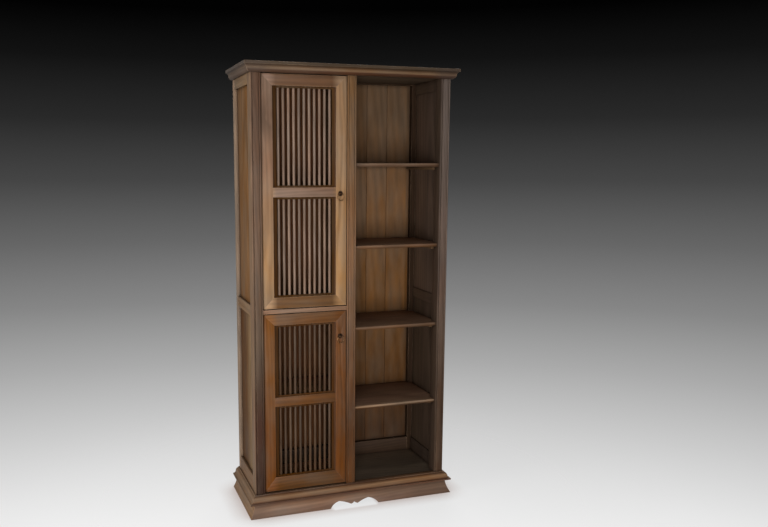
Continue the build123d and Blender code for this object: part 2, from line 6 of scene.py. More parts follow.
import bpy
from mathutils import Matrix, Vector


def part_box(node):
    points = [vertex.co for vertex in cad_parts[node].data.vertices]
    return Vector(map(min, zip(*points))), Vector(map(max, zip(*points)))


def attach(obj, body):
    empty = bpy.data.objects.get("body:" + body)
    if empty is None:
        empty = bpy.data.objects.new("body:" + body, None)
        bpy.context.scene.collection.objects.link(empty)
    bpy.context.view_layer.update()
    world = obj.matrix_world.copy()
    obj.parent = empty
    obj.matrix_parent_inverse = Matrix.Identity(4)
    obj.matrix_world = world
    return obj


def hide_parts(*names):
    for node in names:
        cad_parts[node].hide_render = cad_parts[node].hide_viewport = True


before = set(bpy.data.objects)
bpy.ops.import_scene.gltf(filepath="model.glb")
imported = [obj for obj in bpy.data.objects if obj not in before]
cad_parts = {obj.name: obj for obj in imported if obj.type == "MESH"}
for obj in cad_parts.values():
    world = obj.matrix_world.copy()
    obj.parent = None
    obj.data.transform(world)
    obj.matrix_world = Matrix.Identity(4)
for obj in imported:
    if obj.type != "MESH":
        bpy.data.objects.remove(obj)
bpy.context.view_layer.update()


# ---------------------------------------------------------------- the view
# A normal lens a little above the middle of the cabinet, turned to show its left side,
# with a slight shift that sets the cabinet left of the middle.
looks_down, turned_right = radians(8.551), radians(18.211)
view_data = bpy.data.cameras.new("view")
view_data.sensor_width = 36.0
view_data.lens = 36.9
view_data.shift_x = 0.0707
view_data.shift_y = 0.0265
view = bpy.data.objects.new("view", view_data)
view.location = (-1.2002, -3.4700, 1.5713)
view.rotation_euler = (radians(90.0) - looks_down, 0.0, -turned_right)
bpy.context.collection.objects.link(view)
bpy.context.scene.camera = view
bpy.context.scene.view_settings.view_transform = "Standard"


# ---------------------------------------------------------------- the studio
# A plain graded backdrop, white at the foot and near black overhead, which only the eye
# sees, and a pale paper floor that is as bright as the backdrop where the two meet.
def linear(code):
    """Turn an sRGB hex colour into the linear RGBA that Blender's sockets take."""
    parts = [int(code[i:i + 2], 16) / 255 for i in (1, 3, 5)]
    return (*[p / 12.92 if p <= 0.04045 else ((p + 0.055) / 1.055) ** 2.4 for p in parts], 1.0)


def add_node(tree, kind, settings=None, inputs=None, stops=None):
    """Add one node to a tree with its settings, its inputs set or linked and, for a ramp,
    its stops, each a place and an sRGB hex colour. An input goes by its name, or by number
    where names repeat: a colour mix has its share at 0 and its two colours at 6 and 7."""
    node = tree.nodes.new(kind)
    for key, value in (settings or {}).items():
        setattr(node, key, value)
    for key, value in (inputs or {}).items():
        if isinstance(value, bpy.types.NodeSocket):
            tree.links.new(value, node.inputs[key])
        else:
            node.inputs[key].default_value = value
    if stops:
        elements = node.color_ramp.elements
        while len(elements) < len(stops):
            elements.new(1.0)
        for element, (place, code) in zip(elements, stops):
            element.position = place
            element.color = linear(code)
    return node


# Each stop is how steeply the eye looks up, as the z of a direction of length 1, and its grey.
backdrop_stops = [
    (-0.430, "#f3f3f3"), (-0.383, "#e6e6e6"), (-0.315, "#cbcbcb"), (-0.243, "#aaaaaa"),
    (-0.169, "#868686"), (-0.093, "#666666"), (-0.018, "#454545"), (0.056, "#292929"),
    (0.128, "#121212"), (0.184, "#020202"),
]
backdrop_low, backdrop_high = -0.45, 0.20
ambient_level = 0.20

world = bpy.data.worlds.new("studio")
world.use_nodes = True
bpy.context.scene.world = world
tree = world.node_tree
tree.nodes.clear()
towards = add_node(tree, "ShaderNodeTexCoord")
height = add_node(tree, "ShaderNodeSeparateXYZ", inputs={"Vector": towards.outputs["Generated"]})
grade = add_node(tree, "ShaderNodeMapRange", inputs={
    "Value": height.outputs["Z"], "From Min": backdrop_low, "From Max": backdrop_high})
span = backdrop_high - backdrop_low
graded = add_node(tree, "ShaderNodeValToRGB", inputs={"Fac": grade.outputs["Result"]},
                  stops=[((z - backdrop_low) / span, code) for z, code in backdrop_stops])
path = add_node(tree, "ShaderNodeLightPath")
seen = add_node(tree, "ShaderNodeMath", {"operation": "MAXIMUM"}, {
    0: path.outputs["Is Camera Ray"], 1: path.outputs["Is Transmission Ray"]})
ambient = add_node(tree, "ShaderNodeBackground", inputs={
    "Color": (1.0, 1.0, 1.0, 1.0), "Strength": ambient_level})
backdrop = add_node(tree, "ShaderNodeBackground", inputs={
    "Color": graded.outputs["Color"], "Strength": 1.0})
mixed = add_node(tree, "ShaderNodeMixShader", inputs={
    "Fac": seen.outputs["Value"], 1: ambient.outputs["Background"],
    2: backdrop.outputs["Background"]})
add_node(tree, "ShaderNodeOutputWorld", inputs={"Surface": mixed.outputs["Shader"]})

# The paper fades out between two radii. It glows a little less than a white sheet in full
# light, so that the lamps' shading still shows on it, and near the wood it carries a
# painted contact shadow, tinted brown.
floor_radius, floor_clear, floor_gone = 1.8, 0.8, 1.7
floor_shading, floor_bounce = 0.16, 0.55
contact_shadow_reach, contact_shadow_tint = 0.11, "#8a5a3c"
# It has the backdrop's greys, each as far from the place below the eye as a look that steep
# reaches on the floor.
below_eye, eye_height, least_steep = (-1.20, -3.47, 0.0), 1.57, -0.2
floor_stops = [(eye_height * sqrt(1 / z ** 2 - 1), code)
               for z, code in backdrop_stops if z < least_steep]
nearest, farthest = floor_stops[0][0], floor_stops[-1][0]

bpy.ops.object.select_all(action="DESELECT")
bpy.ops.mesh.primitive_circle_add(vertices=96, radius=floor_radius, fill_type="NGON")
floor = bpy.context.object
floor.name = "floor"

floor_paint = bpy.data.materials.new("pale_studio_floor")
floor_paint.use_nodes = True
tree = floor_paint.node_tree
tree.nodes.clear()
place = add_node(tree, "ShaderNodeTexCoord")
away = add_node(tree, "ShaderNodeVectorMath", {"operation": "DISTANCE"}, {
    0: place.outputs["Object"], 1: below_eye})
greying = add_node(tree, "ShaderNodeMapRange", inputs={
    "Value": away.outputs["Value"], "From Min": nearest, "From Max": farthest})
paper = add_node(tree, "ShaderNodeValToRGB", inputs={"Fac": greying.outputs["Result"]},
                 stops=[((reach - nearest) / (farthest - nearest), code)
                        for reach, code in floor_stops])
# The painted contact shadow: the paper darkens towards a brown tint where the wood hems it in.
contact_shadow = add_node(tree, "ShaderNodeAmbientOcclusion", inputs={"Distance": contact_shadow_reach})
# Under the cabinet and by the scallops the painted contact shadow is left out, so the paper
# there stays bright. Each patch has a half width and a half depth, and a soft edge.
unshadowed_patches, patch_edge = ((0.45, 0.17), (0.15, 0.26)), 0.05
outwards = add_node(tree, "ShaderNodeVectorMath", {"operation": "ABSOLUTE"}, {
    0: place.outputs["Object"]})
sides = add_node(tree, "ShaderNodeSeparateXYZ", inputs={"Vector": outwards.outputs["Vector"]})
lit = contact_shadow.outputs["AO"]
for half_width, half_depth in unshadowed_patches:
    bright = 1.0
    for axis, edge in (("X", half_width), ("Y", half_depth)):
        inwards = add_node(tree, "ShaderNodeMapRange", inputs={
            "Value": sides.outputs[axis], "From Min": edge, "From Max": edge - patch_edge})
        bright = add_node(tree, "ShaderNodeMath", {"operation": "MULTIPLY"}, {
            0: inwards.outputs["Result"], 1: bright}).outputs["Value"]
    lit = add_node(tree, "ShaderNodeMath", {"operation": "MAXIMUM"}, {
        0: lit, 1: bright}).outputs["Value"]
shadowed = add_node(tree, "ShaderNodeMix", {"data_type": "RGBA"}, {
    0: lit, 6: linear(contact_shadow_tint), 7: paper.outputs["Color"]})
glow = add_node(tree, "ShaderNodeEmission", inputs={
    "Color": shadowed.outputs[2], "Strength": 1.0 - floor_shading})
shaded = add_node(tree, "ShaderNodeBsdfDiffuse", inputs={
    "Color": (floor_shading, floor_shading, floor_shading, 1.0)})
seen_floor = add_node(tree, "ShaderNodeAddShader", inputs={
    0: shaded.outputs["BSDF"], 1: glow.outputs["Emission"]})
dull = add_node(tree, "ShaderNodeBsdfDiffuse", inputs={
    "Color": (floor_bounce, floor_bounce, floor_bounce, 1.0)})
path = add_node(tree, "ShaderNodeLightPath")
either = add_node(tree, "ShaderNodeMixShader", inputs={
    "Fac": path.outputs["Is Camera Ray"], 1: dull.outputs["BSDF"],
    2: seen_floor.outputs["Shader"]})
from_middle = add_node(tree, "ShaderNodeVectorMath", {"operation": "LENGTH"}, {
    0: place.outputs["Object"]})
fade = add_node(tree, "ShaderNodeMapRange", {"interpolation_type": "SMOOTHSTEP"}, {
    "Value": from_middle.outputs["Value"], "From Min": floor_clear, "From Max": floor_gone})
gone = add_node(tree, "ShaderNodeBsdfTransparent")
surface = add_node(tree, "ShaderNodeMixShader", inputs={
    "Fac": fade.outputs["Result"], 1: either.outputs["Shader"], 2: gone.outputs["BSDF"]})
add_node(tree, "ShaderNodeOutputMaterial", inputs={"Surface": surface.outputs["Shader"]})
floor.data.materials.append(floor_paint)


# ---------------------------------------------------------------- the lamps
# A wide soft box low in front, one straight out from the left side, and one high behind for
# the back and the top. A face turned to the front gets about its written colour. Each lamp
# has its place, the place it faces, its width and its power.
lamps = {
    "front_softbox": ((-1.3, -4.3, 0.80), (0.0, 0.0, 1.0), 2.0, 150.0),
    "left_softbox": ((-3.9, -0.9, 1.5), (-0.3, 0.0, 1.0), 1.8, 85.0),
    "back_softbox": ((1.4, 3.2, 3.4), (0.0, 0.0, 1.2), 2.0, 90.0),
}
for name, (spot, aim, size, power) in lamps.items():
    lamp_data = bpy.data.lights.new(name, "AREA")
    lamp_data.shape = "SQUARE"
    lamp_data.size = size
    lamp_data.energy = power
    lamp = bpy.data.objects.new(name, lamp_data)
    lamp.location = spot
    lamp.rotation_euler = (Vector(aim) - Vector(spot)).to_track_quat("-Z", "Y").to_euler()
    bpy.context.collection.objects.link(lamp)


# ---------------------------------------------------------------- the posts
# Five square posts of elm, stained brown and waxed, planed by hand, with a bead run down
# each front edge. Handling has greyed them at the top and rubbed their edges pale, and a
# painted highlight lies along those edges.
MM = 0.001
RING_TURNS = 0.314  # a wave of this over a length repeats once in that length


def board_place(tree, place, level, box, strips):
    """Each point's place from the middle of its board, and how light that board is. Like
    pieces side by side are each a board of their own, cut from another place along the tree,
    and each a little lighter or darker."""
    if not strips:
        here = add_node(tree, "ShaderNodeMapping", {"vector_type": "POINT"}, {
            "Vector": place.outputs["Object"],
            "Location": [-(a + b) / 2 for a, b in zip(*box)]})
        return here.outputs["Vector"], 1.0
    joint, pitch, unlike = strips
    farthest_cut = 7.0
    count = add_node(tree, "ShaderNodeMath", {"operation": "SUBTRACT"}, {
        0: level.outputs["X"], 1: joint})
    count = add_node(tree, "ShaderNodeMath", {"operation": "DIVIDE"}, {
        0: count.outputs["Value"], 1: pitch})
    index = add_node(tree, "ShaderNodeMath", {"operation": "FLOOR"}, {
        0: count.outputs["Value"]})
    chance = add_node(tree, "ShaderNodeTexWhiteNoise", {"noise_dimensions": "1D"}, {
        "W": index.outputs["Value"]})
    part = add_node(tree, "ShaderNodeMath", {"operation": "SUBTRACT"}, {
        0: count.outputs["Value"], 1: index.outputs["Value"]})
    across = add_node(tree, "ShaderNodeMath", {"operation": "MULTIPLY_ADD"}, {
        0: part.outputs["Value"], 1: pitch, 2: -0.5 * pitch})
    along = add_node(tree, "ShaderNodeMath", {"operation": "MULTIPLY_ADD"}, {
        0: chance.outputs["Value"], 1: farthest_cut, 2: level.outputs["Z"]})
    here = add_node(tree, "ShaderNodeCombineXYZ", inputs={
        "X": across.outputs["Value"], "Z": along.outputs["Value"]})
    lightness = add_node(tree, "ShaderNodeMath", {"operation": "MULTIPLY_ADD"}, {
        0: chance.outputs["Value"], 1: unlike, 2: 1.0 - 0.5 * unlike})
    return here.outputs["Vector"], lightness.outputs["Value"]


def elm_pattern(tree, here, grain, ring_gap, draw):
    """The elm's growth rings, and four kinds of mottling drawn out along its grain."""
    # Rings 14 mm apart or more, several times a real elm's, so that they show, about a heart
    # that lies just beside the board and leans, which draws them out into arches.
    grain_axis = "xyz".index(grain)
    stretch, lean, heart_near, heart_far = 9.0, 0.5, 20, 80
    squeeze, tilt = [1.0] * 3, [lean] * 3
    heart = [draw.uniform(heart_near, heart_far) * MM for axis in "xyz"]
    squeeze[grain_axis], tilt[grain_axis] = 1 / stretch, 0.0
    rings_at = add_node(tree, "ShaderNodeMapping", {"vector_type": "POINT"}, {
        "Vector": here, "Location": heart, "Rotation": tilt, "Scale": squeeze})
    rings = add_node(tree, "ShaderNodeTexWave", {
        "wave_type": "RINGS", "rings_direction": grain.upper()}, {
        "Vector": rings_at.outputs["Vector"], "Scale": RING_TURNS / ring_gap,
        "Distortion": 7.0, "Detail": 2.0, "Detail Scale": 0.7, "Detail Roughness": 0.6})

    # Each mottling has one cell this wide and this long. Pores are drawn 3 mm wide, coarser
    # than real ones, so that they show.
    mottlings = {"streaks": (12, 260), "pores": (3, 90), "clouds": (70, 190),
                 "patches": (110, 330)}
    drift = {}
    for mottling, (wide, long) in mottlings.items():
        cells = [1 / (wide * MM)] * 3
        cells[grain_axis] = 1 / (long * MM)
        cell = add_node(tree, "ShaderNodeMapping", {"vector_type": "POINT"}, {
            "Vector": here, "Scale": cells,
            "Location": [draw.uniform(0, 40) for axis in "xyz"]})
        drift[mottling] = add_node(tree, "ShaderNodeTexNoise", inputs={
            "Vector": cell.outputs["Vector"], "Scale": 1.0, "Detail": 3.0,
            "Roughness": 0.6}).outputs["Fac"]
    return rings.outputs["Fac"], drift


def elm_stain(tree, level, drift, swing, tones, patina, patina_amount, grey_at, zones):
    """The stain's tone by height, with patches that lean to red or to yellow, the grey patina
    over it, and the zones that have a tone of their own. swing is how bright each point is."""
    if isinstance(tones, str):
        tones = [(0.0, tones), (2.0, tones)]
    foot, head = tones[0][0], tones[-1][0]
    climb = add_node(tree, "ShaderNodeMapRange", inputs={
        "Value": level.outputs["Z"], "From Min": foot, "From Max": head})
    tone = add_node(tree, "ShaderNodeValToRGB", inputs={"Fac": climb.outputs["Result"]},
                    stops=[((z - foot) / (head - foot), code) for z, code in tones])
    redder = add_node(tree, "ShaderNodeMapRange", inputs={
        "Value": drift["patches"], "From Min": 0.35, "From Max": 0.65,
        "To Min": 0.498, "To Max": 0.505})
    warmth = add_node(tree, "ShaderNodeMapRange", inputs={
        "Value": drift["patches"], "From Min": 0.38, "From Max": 0.62,
        "To Min": 1.12, "To Max": 0.92})
    stain = add_node(tree, "ShaderNodeHueSaturation", inputs={
        "Color": tone.outputs["Color"], "Value": swing, "Hue": redder.outputs["Result"],
        "Saturation": warmth.outputs["Result"]})

    # Patina: soft grey patches, and where given a band of them round one height.
    greyed = add_node(tree, "ShaderNodeMapRange", inputs={
        "Value": drift["patches"], "From Min": 0.5, "From Max": 0.68,
        "To Max": patina_amount}).outputs["Result"]
    if grey_at:
        middle, band, most = grey_at
        away = add_node(tree, "ShaderNodeMath", {"operation": "SUBTRACT"}, {
            0: level.outputs["Z"], 1: middle})
        away = add_node(tree, "ShaderNodeMath", {"operation": "ABSOLUTE"}, {
            0: away.outputs["Value"]})
        near = add_node(tree, "ShaderNodeMapRange", {"interpolation_type": "SMOOTHSTEP"}, {
            "Value": away.outputs["Value"], "From Max": band, "To Min": most, "To Max": 0.0})
        blotch = add_node(tree, "ShaderNodeMapRange", inputs={
            "Value": drift["clouds"], "From Min": 0.42, "From Max": 0.58})
        near = add_node(tree, "ShaderNodeMath", {"operation": "MULTIPLY"}, {
            0: near.outputs["Result"], 1: blotch.outputs["Result"]})
        greyed = add_node(tree, "ShaderNodeMath", {"operation": "MAXIMUM"}, {
            0: greyed, 1: near.outputs["Value"]}).outputs["Value"]
    colour = add_node(tree, "ShaderNodeMix", {"data_type": "RGBA"}, {
        0: greyed, 6: stain.outputs["Color"], 7: linear(patina)}).outputs[2]

    for code, within, limits in zones:
        for axis, outer, inner in limits:
            rise = add_node(tree, "ShaderNodeMapRange", inputs={
                "Value": level.outputs[axis], "From Min": outer, "From Max": inner})
            within = add_node(tree, "ShaderNodeMath", {"operation": "MULTIPLY"}, {
                0: rise.outputs["Result"], 1: within}).outputs["Value"]
        shade = add_node(tree, "ShaderNodeHueSaturation", inputs={
            "Color": linear(code), "Value": swing, "Hue": redder.outputs["Result"]})
        colour = add_node(tree, "ShaderNodeMix", {"data_type": "RGBA"}, {
            0: within, 6: colour, 7: shade.outputs["Color"]}).outputs[2]
    return colour


def elm_wear_and_shade(tree, colour, drift, rubbed, rub, dirt_and_shade):
    """Hands have made the edges pale, with a painted highlight along them, and grime, old
    wax and painted shade darken the corners.
    """
    if rubbed:
        # Pale edges: wear by hands, with a painted highlight along them.
        rub_and_highlight_width, least_rub_and_highlight, most_rub_and_highlight = rub
        surface = add_node(tree, "ShaderNodeNewGeometry")
        round_edge = add_node(tree, "ShaderNodeBevel", {"samples": 4}, {"Radius": rub_and_highlight_width})
        turn = add_node(tree, "ShaderNodeVectorMath", {"operation": "DOT_PRODUCT"}, {
            0: round_edge.outputs["Normal"], 1: surface.outputs["Normal"]})
        edge = add_node(tree, "ShaderNodeMapRange", inputs={
            "Value": turn.outputs["Value"], "From Min": 0.985, "From Max": 0.80})
        rub_and_highlight_share = add_node(tree, "ShaderNodeMapRange", inputs={
            "Value": drift["clouds"], "From Min": 0.38, "From Max": 0.62,
            "To Min": least_rub_and_highlight, "To Max": most_rub_and_highlight})
        edge = add_node(tree, "ShaderNodeMath", {"operation": "MULTIPLY"}, {
            0: edge.outputs["Result"], 1: rub_and_highlight_share.outputs["Result"]})
        colour = add_node(tree, "ShaderNodeMix", {"data_type": "RGBA"}, {
            0: edge.outputs["Value"], 6: colour, 7: linear(rubbed)}).outputs[2]
    # Painted shade, with grime and old wax: the corners darken where nearby surfaces hem them
    # in.
    corner_reach, corner_dirt_and_shade = 22 * MM, "#22140c"
    corner = add_node(tree, "ShaderNodeAmbientOcclusion", {"samples": 4}, {
        "Distance": corner_reach})
    corner_darkening = add_node(tree, "ShaderNodeMapRange", inputs={
        "Value": corner.outputs["AO"], "From Min": 0.3, "From Max": 0.9,
        "To Min": dirt_and_shade, "To Max": 0.0})
    return add_node(tree, "ShaderNodeMix", {"data_type": "RGBA"}, {
        0: corner_darkening.outputs["Result"], 6: colour, 7: linear(corner_dirt_and_shade)}).outputs[2]


def stained_elm(name, box, grain, tones, figure=0.22, ring_gap=14 * MM, clouding=0.6,
                wax=0.2, gloss=0.5, patina="#5c4839", patina_amount=0.2, grey_at=None, zones=(),
                strips=None, rubbed="#a58a70", rub=(3 * MM, 0.1, 0.75), dirt_and_shade=0.65):
    """Elm under brown stain and wax. The eye sees the growth rings cut into long arches,
    streaks and open pores along the grain, soft blotches where the stain took unevenly,
    grey patina, pale edges with a painted highlight along them, and grime with painted
    shade in corners. tones is one colour, or the colours at rising heights in metres. zones
    lists other tones: how far each takes over, and the axes and places between which it
    comes in. grey_at is a height, how far from it the grey goes and how grey it is. strips
    is a joint between like pieces side by side, their pitch and how unlike they are.
    rub is how wide the pale, highlit edges are, and how pale at the least and
    the most."""
    material = bpy.data.materials.new(name)
    material.use_nodes = True
    tree = material.node_tree
    tree.nodes.clear()
    place = add_node(tree, "ShaderNodeTexCoord")
    level = add_node(tree, "ShaderNodeSeparateXYZ", inputs={"Vector": place.outputs["Object"]})
    here, lightness = board_place(tree, place, level, box, strips)
    rings, drift = elm_pattern(tree, here, grain, ring_gap, random.Random(name))

    # Brightness: 1 in the middle of every pattern, swung by each to its own depth.
    streaking, pitting = 0.25, 0.2
    depths = [(rings, figure), (drift["streaks"], streaking), (drift["pores"], pitting),
              (drift["clouds"], clouding)]
    swing = 1.0 - 0.5 * sum(depth for pattern, depth in depths)
    for pattern, depth in depths:
        swing = add_node(tree, "ShaderNodeMath", {"operation": "MULTIPLY_ADD"}, {
            0: pattern, 1: depth, 2: swing}).outputs["Value"]
    swing = add_node(tree, "ShaderNodeMath", {"operation": "MULTIPLY"}, {
        0: swing, 1: lightness}).outputs["Value"]
    colour = elm_stain(tree, level, drift, swing, tones, patina, patina_amount, grey_at, zones)
    colour = elm_wear_and_shade(tree, colour, drift, rubbed, rub, dirt_and_shade)

    # Pores are duller than the waxed wood between them, and lie a little lower.
    roughness = add_node(tree, "ShaderNodeMapRange", inputs={
        "Value": drift["pores"], "From Min": 0.3, "From Max": 0.7,
        "To Min": gloss + 0.12, "To Max": gloss - 0.06})
    relief = add_node(tree, "ShaderNodeBump", inputs={
        "Strength": 0.35, "Distance": 0.5 * MM, "Height": drift["pores"]})
    wood = add_node(tree, "ShaderNodeBsdfPrincipled", inputs={
        "Base Color": colour, "Roughness": roughness.outputs["Result"],
        "Normal": relief.outputs["Normal"], "IOR": 1.5, "Specular IOR Level": wax})
    add_node(tree, "ShaderNodeOutputMaterial", inputs={"Surface": wood.outputs["BSDF"]})
    return material


def ease_edges(piece, ease):
    """Ease the sharp edges of the active piece, as a few strokes of a plane do."""
    sharp, smooth = radians(40.0), radians(32.0)
    soften = piece.modifiers.new("eased_edges", "BEVEL")
    soften.width = ease
    soften.segments = 2
    soften.limit_method = "ANGLE"
    soften.angle_limit = sharp
    bpy.ops.object.modifier_apply(modifier=soften.name)
    bpy.ops.object.shade_smooth_by_angle(angle=smooth)


def eased(node, body, finish, ease=0.9 * MM):
    """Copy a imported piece, merge its corners, flatten its facets into whole faces and ease
    its edges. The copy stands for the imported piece."""
    same_place, flat = 0.005 * MM, radians(0.3)
    piece = bpy.data.objects.new(node + ".eased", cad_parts[node].data.copy())
    bpy.context.collection.objects.link(piece)
    bpy.ops.object.select_all(action="DESELECT")
    bpy.context.view_layer.objects.active = piece
    piece.select_set(True)
    piece.data.materials.clear()
    piece.data.materials.append(finish)
    bpy.ops.object.mode_set(mode="EDIT")
    bpy.ops.mesh.select_all(action="SELECT")
    bpy.ops.mesh.remove_doubles(threshold=same_place)
    bpy.ops.mesh.dissolve_limited(angle_limit=flat)
    bpy.ops.object.mode_set(mode="OBJECT")
    ease_edges(piece, ease)
    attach(piece, body)
    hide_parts(node)


def inside_light_and_shade(code, face=-0.158, spill=1 * MM, back=None, front=None):
    """The zones inside the cabinet, behind the face at this y, where no wax or sun has come,
    with tones that also paint the light and shade inside: one tone, or three that change
    from the back of the cabinet to the front. They end within the thickness of the side
    panels and short of the back of the rear posts."""
    side, rear, sudden = 0.4451, 0.1976, 0.1 * MM
    within = [("X", side, side - sudden), ("X", -side, sudden - side),
              ("Y", face, face + spill), ("Y", rear, rear - sudden)]
    found = [(code, 1.0, within)]
    if back:
        found.append((back, 1.0, within + [("Y", 0.02, 0.18)]))
        found.append((front, 1.0, within + [("Y", -0.02, -0.13)]))
    return found


# Tones that paint the light and shade inside, for the sides and the rear posts.
side_inside = {"code": "#56453a", "back": "#7a6250", "front": "#3f3229"}
rear_inside = {"code": "#332419"}
# Painted light on the left side of the front left post, which faces the left lamp, and
# painted shade on the bead by the open bay.
lit_flank = ("#7b6049", 1.0, [("X", -0.4622, -0.4623)])
shaded_bead = ("#3a2c22", 0.7, [("X", 0.430, 0.422)])

posts = {
    "front_left_post": [(0.45, "#3f2a20"), (0.78, "#574434"), (1.30, "#6b513f"),
                        (1.74, "#60493b")],
    "front_right_post": [(0.46, "#473325"), (1.18, "#5f4d43"), (1.75, "#61544d")],
    "centre_post": [(0.46, "#563823"), (1.20, "#785a43"), (1.75, "#73553a")],
    "rear_left_post": "#897462",
    "rear_right_post": "#897462",
}
for node, tones in posts.items():
    left = node == "front_left_post"
    rear = node.startswith("rear")
    finish = stained_elm(node + "_elm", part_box(node), "z", tones, patina_amount=0.4,
                         wax=0.08 if rear else 0.2,
                         zones=inside_light_and_shade(**(rear_inside if rear else side_inside))
                         + left * [lit_flank] + (node == "front_right_post") * [shaded_bead],
                         grey_at=(1.76, 0.2, 0.8) if left else None, dirt_and_shade=0.4)
    eased(node, "cabinet", finish)


# ---------------------------------------------------------------- rails and panels
# Rails tenoned between the posts on each side, with two flat panels held in their grooves,
# and the front, rear and divider rails.
rails = {
    "left_top_rail": ("y", "#725b44"), "left_middle_rail": ("y", "#775d44"),
    "left_bottom_rail": ("y", "#6f543d"), "right_top_rail": ("y", "#725b44"),
    "right_middle_rail": ("y", "#775d44"), "right_bottom_rail": ("y", "#6f543d"),
    "front_top_rail": ("x", "#4a3727"), "front_bottom_rail": ("x", "#5a4230"),
    "rear_top_rail": ("x", "#5a4230"), "rear_bottom_rail": ("x", "#5a4230"),
    "divider_rail": ("x", "#84644e"),
}
# Tones that paint the light and shade inside, for the rails.
side_rail_inside = {"code": "#46372c", "back": "#65513f", "front": "#33271f"}
foot_inside = {"code": "#3e2e23"}
right_foot_inside = {"code": "#3a2e26", "back": "#564538", "front": "#241b15"}
for node, (grain, tone) in rails.items():
    rear = node.startswith("rear")
    inner = rear_inside if rear else side_rail_inside
    if node.endswith("bottom_rail"):
        inner = right_foot_inside if node.startswith("right") else foot_inside
    finish = stained_elm(node + "_elm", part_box(node), grain, tone, patina_amount=0.15,
                         wax=0.08 if rear else 0.2,
                         zones=[] if node == "divider_rail" else inside_light_and_shade(**inner))
    eased(node, "cabinet", finish)

# Each panel has painted shade by the rear post, and the lower ones have painted light
# towards the front.
rear_post_shade = ("#4a3020", 0.7, [("Y", 0.125, 0.155)])
lit_front = ("#7d6448", 1.0, [("Y", 0.06, -0.05)])
lower_inside = {"code": "#4a3b30", "back": "#62503f", "front": "#372b22"}
panels = {
    "upper_panel": ([(1.2, "#725235"), (1.62, "#6e4e30")],
                    [rear_post_shade] + inside_light_and_shade(**side_inside)),
    "lower_panel": ("#563619", [rear_post_shade, lit_front] + inside_light_and_shade(**lower_inside)),
}
for side in ("left", "right"):
    for panel, (tones, zones) in panels.items():
        node = side + "_" + panel
        finish = stained_elm(node + "_elm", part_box(node), "z", tones, figure=0.3,
                             ring_gap=24 * MM, patina_amount=0.1, wax=0.12, zones=zones)
        eased(node, "cabinet", finish)


# ---------------------------------------------------------------- mouldings
# The cornice, the base moulding and the flared plinth, each planed in three lengths that
# meet in mitres at the front corners. Most have their tones by height, which paint shade
# into their hollows and undersides and light onto their beads.
cornice_shading = [(1.957, "#4a2e1e"), (1.967, "#4a2e1e"), (1.971, "#755a42"), (1.976, "#755a42"),
                 (1.980, "#5c4430"), (1.985, "#432f1f"), (1.990, "#46382a")]
cornice_side_shading = [(1.957, "#4e3f34"), (1.970, "#5c4c40"), (1.980, "#544538"),
                      (1.985, "#443830"), (1.990, "#4c423b")]
base_shading = [(0.064, "#54382a"), (0.071, "#54382a"), (0.078, "#775840"), (0.088, "#7c5e44"),
              (0.094, "#6a4c36"), (0.099, "#4a3020"), (0.102, "#452c1c")]
plinth_shading = [(0.0, "#785c4c"), (0.02, "#7c6050"), (0.032, "#8a6c58"), (0.045, "#7a5a45"),
                (0.056, "#6a4a36"), (0.064, "#54382a")]
mouldings = {
    "cornice_front": ("x", cornice_shading), "cornice_left": ("y", cornice_side_shading),
    "cornice_right": ("y", cornice_side_shading),
    "base_moulding_front": ("x", base_shading), "base_moulding_left": ("y", "#7c5f46"),
    "base_moulding_right": ("y", "#7c5f46"),
    "plinth_front": ("x", plinth_shading), "plinth_left": ("y", "#84664c"),
    "plinth_right": ("y", "#84664c"),
}
darker_ends = {
    "cornice_front": [("#483b34", 0.5, [("X", -0.37, -0.42)]),
                      ("#483b34", 0.5, [("X", 0.36, 0.41)])],
    "plinth_front": [("#5a4436", 0.6, [("X", 0.02, 0.30)]),
                     ("#5f4a3c", 0.5, [("X", -0.36, -0.44)])],
}
for node, (grain, tones) in mouldings.items():
    finish = stained_elm(node + "_elm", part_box(node), grain, tones, figure=0.14,
                         zones=darker_ends.get(node, ()))
    eased(node, "cabinet", finish)


# ---------------------------------------------------------------- boards and shelves
# The inside: shelves, boards, partition, cleats and stops, of the same elm left duller,
# their tones behind the front edge painting the light and shade inside, paler on the
# cupboard shelves, which the door rails shade. The open shelves have a painted highlight
# along the front.
# Each board has its grain, the tone of its front edge and the tone behind that.
shelf_face = -0.1515
boards = {
    "top_board": ("x", "#3d2c20", "#584839"), "floor_board": ("x", "#3d2c20", "#5c4f42"),
    "divider_board": ("x", "#3d2c20", "#5a4230"), "partition": ("z", "#3a2a1f", "#8a4f28"),
    "upper_cupboard_shelf": ("x", "#5e3c22", "#b0835c"),
    "lower_cupboard_shelf": ("x", "#5e3c22", "#b0835c"),
    "shelf_cleats": ("y", "#4a3626", "#5a4430"), "door_stops": ("z", "#3a2a1f", "#6a4a33"),
}
# The floor has painted light behind the doors, where the door rails shade it. In the open
# bay it is lighter at the back and dark in front.
in_left_bay, in_right_bay = ("X", -0.012, -0.013), ("X", -0.013, -0.012)
floor_light_and_shade = [("#b0835c", 1.0, [in_left_bay]),
               ("#84715e", 1.0, [in_right_bay, ("Y", 0.0, 0.15)]),
               ("#463b31", 1.0, [in_right_bay, ("Y", -0.06, -0.14),
                                 ("Y", shelf_face, shelf_face + 1 * MM)])]
for node, (grain, edge, inner) in boards.items():
    finish = stained_elm(node + "_elm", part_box(node), grain, edge, gloss=0.6, wax=0.08,
                         zones=inside_light_and_shade(inner, shelf_face)
                         + (node == "floor_board") * floor_light_and_shade)
    eased(node, "cabinet", finish)

